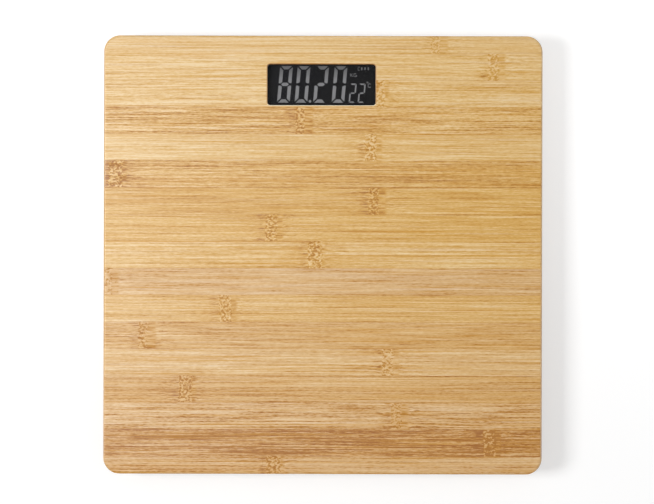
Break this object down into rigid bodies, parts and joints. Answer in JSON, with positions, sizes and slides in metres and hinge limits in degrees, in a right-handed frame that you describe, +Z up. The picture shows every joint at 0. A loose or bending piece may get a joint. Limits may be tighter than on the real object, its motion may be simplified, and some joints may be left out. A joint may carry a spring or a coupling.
{
  "type": "bathroom scale",
  "caption": "Square digital bathroom scale: flat bamboo platform with an inset display, standing on sprung load-cell feet, with a unit button and a hinged battery door underneath.",
  "frame": {"origin": "centre of the square footprint, on the floor plane that the foot pads stand on", "axes": "+Z up; +Y towards the display edge, away from the person; +X to the right of a person who faces the display"},
  "size_m": [0.3, 0.3, 0.022],
  "materials": {
    "bamboo": "clear satin lacquer over laminated bamboo strips",
    "base_plastic": "fine grained",
    "housing_plastic": "fine grained",
    "frame_plastic": "moulded",
    "bracket_plastic": "moulded",
    "foot_plastic": "fine grained",
    "button_plastic": "moulded",
    "plunger_plastic": "moulded",
    "switch_body": "moulded",
    "smoked_lens": "clear polished acrylic with a smoke tint",
    "polarizer_film": "neutral film",
    "lcd_glass": "polished",
    "light_guide": "milky acrylic",
    "led_package": "moulded",
    "gasket_rubber": "closed-cell foam",
    "zebra_rubber": "striped conductive rubber",
    "gauge_silicone": "cured silicone",
    "pad_rubber": "matte",
    "board_laminate": "solder-mask green",
    "epoxy_black": "cast epoxy",
    "capacitor_body": "sintered",
    "thermistor_bead": "dipped epoxy",
    "crystal_can": "drawn can",
    "screw_steel": "zinc plated",
    "load_cell_steel": "stamped and nickel plated",
    "spring_contact": "nickel-plated spring steel",
    "battery_sleeve": null,
    "wire_red": "extruded",
    "wire_white": "extruded",
    "wire_black": "extruded"
  },
  "bodies": {
    "scale": {"bamboo_platform": "bamboo", "base_panel": "base_plastic", "base_panel_screws": "screw_steel", "display_lens": "smoked_lens", "lens_gasket": "gasket_rubber", "lcd_polarizer": "polarizer_film", "lcd_front_glass": "lcd_glass", "lcd_rear_glass": "lcd_glass", "backlight_guide": "light_guide", "backlight_leds": "led_package", "lcd_frame": "frame_plastic", "zebra_strips": "zebra_rubber", "circuit_board": "board_laminate", "circuit_board_screws": "screw_steel", "processor_blob": "epoxy_black", "converter_chip": "epoxy_black", "clock_crystal": "crystal_can", "chip_capacitors": "capacitor_body", "chip_resistors": "epoxy_black", "thermistor": "thermistor_bead", "unit_switch": "switch_body", "module_housing": "housing_plastic", "module_screws": "screw_steel", "battery_cell_front": "battery_sleeve", "battery_cell_rear": "battery_sleeve", "battery_link_contact": "spring_contact", "battery_positive_contact": "spring_contact", "battery_negative_contact": "spring_contact", "battery_lead_red": "wire_red", "battery_lead_black": "wire_black", "bracket_screws": "screw_steel", "supply_wires_red": "wire_red", "signal_wires_white": "wire_white", "ground_wires_black": "wire_black", "cell_bracket_front_left": "bracket_plastic", "load_cell_front_left": "load_cell_steel", "gauge_seal_front_left": "gauge_silicone", "cell_bracket_front_right": "bracket_plastic", "load_cell_front_right": "load_cell_steel", "gauge_seal_front_right": "gauge_silicone", "cell_bracket_rear_left": "bracket_plastic", "load_cell_rear_left": "load_cell_steel", "gauge_seal_rear_left": "gauge_silicone", "cell_bracket_rear_right": "bracket_plastic", "load_cell_rear_right": "load_cell_steel", "gauge_seal_rear_right": "gauge_silicone"},
    "foot_front_left": {"foot_front_left": "foot_plastic", "foot_pad_front_left": "pad_rubber"},
    "foot_front_right": {"foot_front_right": "foot_plastic", "foot_pad_front_right": "pad_rubber"},
    "foot_rear_left": {"foot_rear_left": "foot_plastic", "foot_pad_rear_left": "pad_rubber"},
    "foot_rear_right": {"foot_rear_right": "foot_plastic", "foot_pad_rear_right": "pad_rubber"},
    "door": {"battery_door": "housing_plastic"},
    "button": {"unit_button": "button_plastic", "switch_plunger": "plunger_plastic"}
  },
  "joints": [
    {"name": "front_left_foot_press", "type": "slide", "parent": "scale", "child": "foot_front_left", "axis": [0, 0, 1], "range_m": [0, 0.0006], "stiffness_N_per_m": 1000, "springref_m": -0.0032, "deforming": ["load_cell_front_left"]},
    {"name": "front_right_foot_press", "type": "slide", "parent": "scale", "child": "foot_front_right", "axis": [0, 0, 1], "range_m": [0, 0.0006], "stiffness_N_per_m": 1000, "springref_m": -0.0032, "deforming": ["load_cell_front_right"]},
    {"name": "rear_left_foot_press", "type": "slide", "parent": "scale", "child": "foot_rear_left", "axis": [0, 0, 1], "range_m": [0, 0.0006], "stiffness_N_per_m": 1000, "springref_m": -0.0032, "deforming": ["load_cell_rear_left"]},
    {"name": "rear_right_foot_press", "type": "slide", "parent": "scale", "child": "foot_rear_right", "axis": [0, 0, 1], "range_m": [0, 0.0006], "stiffness_N_per_m": 1000, "springref_m": -0.0032, "deforming": ["load_cell_rear_right"]},
    {"name": "battery_door_hinge", "type": "hinge", "parent": "scale", "child": "door", "pos_m": [-0.0012, 0.0652, 0.0076], "axis": [-1, 0, 0], "range_deg": [0, 90]},
    {"name": "unit_button_press", "type": "slide", "parent": "scale", "child": "button", "axis": [0, 0, 1], "range_m": [0, 0.0004], "stiffness_N_per_m": 4000}
  ]
}
